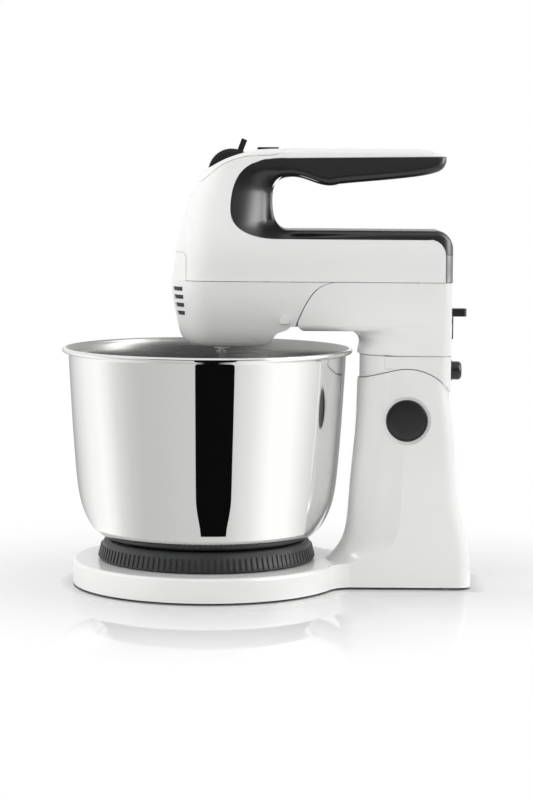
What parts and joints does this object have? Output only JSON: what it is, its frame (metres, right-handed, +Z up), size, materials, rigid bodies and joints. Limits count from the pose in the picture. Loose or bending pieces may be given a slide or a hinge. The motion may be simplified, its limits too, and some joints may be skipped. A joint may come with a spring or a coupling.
{
  "type": "stand mixer",
  "caption": "Hand mixer nested in the tilting arm of a stand, with beaters in a metal bowl on a turning base.",
  "frame": {"origin": "Centre of the whole footprint, on the surface that the stand rests on.", "axes": "+Z is up, +X runs from the bowl to the column at the rear, and +Y is across, away from the near side."},
  "size_m": [0.3282, 0.2326, 0.3568],
  "materials": {
    "white_gloss": "glossy white moulding",
    "white_satin": "satin white moulding",
    "charcoal_soft": "soft charcoal grip",
    "charcoal_hard": "satin charcoal moulding",
    "grey_ring": "dark grey ribbed moulding",
    "grey_strip": "mid grey moulding",
    "inner_black": "black glass-filled plastic",
    "gear_plastic": "natural acetal",
    "steel": "turned steel",
    "chrome": "chromed wire and strip",
    "bowl_steel": "polished outside, satin inside",
    "rubber": "soft pad",
    "zinc_screw": "zinc plated",
    "laminations": "stacked iron sheets",
    "copper": "enamelled copper",
    "carbon": "pressed carbon",
    "board": "green board",
    "bronze": "sintered bronze"
  },
  "bodies": {
    "stand": {"stand_shell": "white_gloss", "base_plate": "inner_black", "rubber_feet": "rubber", "base_screws": "zinc_screw", "hinge_pin": "steel", "pivot_caps": "charcoal_hard", "turntable_spindle": "steel", "glide_pads": "gear_plastic"},
    "turntable": {"turntable_ring": "grey_ring", "turntable_plate": "inner_black", "bowl": "bowl_steel", "bowl_foot": "bowl_steel"},
    "head": {"neck_collar": "white_gloss", "cradle_arm": "white_gloss", "neck_frame": "inner_black", "neck_screws": "zinc_screw", "tilt_bezel": "charcoal_hard", "tilt_spring": "steel", "release_spring": "steel"},
    "tilt_button": {"tilt_button": "charcoal_hard"},
    "release_slider": {"release_slider": "charcoal_hard"},
    "mixer": {"upper_housing": "white_satin", "lower_housing": "white_satin", "control_panel": "white_satin", "nose_badge": "white_satin", "handle_grip": "charcoal_soft", "rear_trim": "grey_strip", "housing_screws": "zinc_screw", "cord_gland": "inner_black", "wheel_axle": "steel", "switch_module": "inner_black", "circuit_board": "board", "gear_case": "inner_black", "stator": "laminations", "field_coils": "copper", "front_bracket": "inner_black", "rear_bracket": "inner_black", "motor_bearings": "bronze", "carbon_brushes": "carbon", "brush_holders": "bronze", "eject_spring": "steel"},
    "speed_wheel": {"speed_wheel": "charcoal_hard"},
    "eject": {"eject_button": "charcoal_hard", "eject_plate": "steel"},
    "rotor": {"rotor_shaft": "steel", "armature": "laminations", "armature_windings": "copper", "commutator": "copper", "cooling_fan": "inner_black"},
    "left_beater": {"left_gear": "gear_plastic", "left_beater": "chrome"},
    "right_beater": {"right_gear": "gear_plastic", "right_beater": "chrome"}
  },
  "joints": [
    {"name": "turntable_spin", "type": "hinge", "parent": "stand", "child": "turntable", "pos_m": [-0.04785, 0, 0.03], "axis": [0, 0, 1], "continuous": true},
    {"name": "head_tilt", "type": "hinge", "parent": "stand", "child": "head", "pos_m": [0.11105, 0, 0.1347], "axis": [0, 1, 0], "range_deg": [0, 45]},
    {"name": "tilt_button_press", "type": "slide", "parent": "head", "child": "tilt_button", "axis": [-1, 0, 0], "range_m": [0, 0.003], "stiffness_N_per_m": 400, "deforming": ["tilt_spring"]},
    {"name": "release_slide", "type": "slide", "parent": "head", "child": "release_slider", "axis": [0, 0, -1], "range_m": [0, 0.005], "stiffness_N_per_m": 300, "deforming": ["release_spring"]},
    {"name": "mixer_lift", "type": "slide", "parent": "head", "child": "mixer", "axis": [0, 0, 1], "range_m": [0, 0.06]},
    {"name": "speed_wheel_turn", "type": "hinge", "parent": "mixer", "child": "speed_wheel", "pos_m": [-0.02915, 0, 0.3298], "axis": [0, -1, 0], "range_deg": [0, 60]},
    {"name": "eject_press", "type": "slide", "parent": "mixer", "child": "eject", "axis": [0, 0, -1], "range_m": [0, 0.005], "stiffness_N_per_m": 600, "deforming": ["eject_spring"]},
    {"name": "rotor_spin", "type": "hinge", "parent": "mixer", "child": "rotor", "pos_m": [0.05215, 0, 0.246], "axis": [1, 0, 0], "continuous": true},
    {"name": "left_beater_spin", "type": "hinge", "parent": "mixer", "child": "left_beater", "pos_m": [-0.03575, -0.0198, 0.246], "axis": [0, 0, 1], "continuous": true},
    {"name": "right_beater_spin", "type": "hinge", "parent": "mixer", "child": "right_beater", "pos_m": [-0.03575, 0.0198, 0.246], "axis": [0, 0, 1], "continuous": true}
  ],
  "couplings": [
    {"joint": "left_beater_spin", "follows": "rotor_spin", "ratio": 0.083333},
    {"joint": "right_beater_spin", "follows": "rotor_spin", "ratio": -0.083333}
  ]
}
